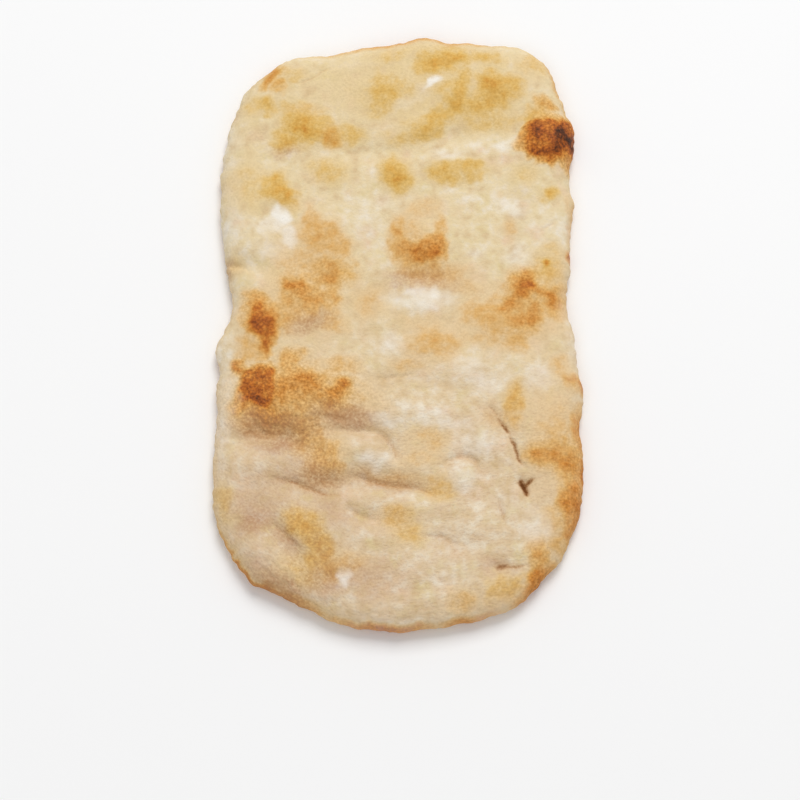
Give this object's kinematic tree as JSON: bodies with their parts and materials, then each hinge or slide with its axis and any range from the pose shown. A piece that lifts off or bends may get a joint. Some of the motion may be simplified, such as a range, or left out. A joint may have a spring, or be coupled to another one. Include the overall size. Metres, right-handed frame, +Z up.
{
  "type": "pinsa base",
  "caption": "Flat oval pinsa base, a pre-baked bread with pressed folds, puffed blisters and scorched spots on a pale crust.",
  "frame": {"origin": "middle of the bread's footprint, on the flat underside that it lies on", "axes": "+Z up through the thickness, +Y along the length towards the end with the charred blister, +X across the width"},
  "size_m": [0.1844, 0.3164, 0.0182],
  "materials": {
    "baked_crust": "matte, floury, browned in spots"
  },
  "bodies": {
    "root": {"pinsa_base": "baked_crust"}
  },
  "joints": []
}
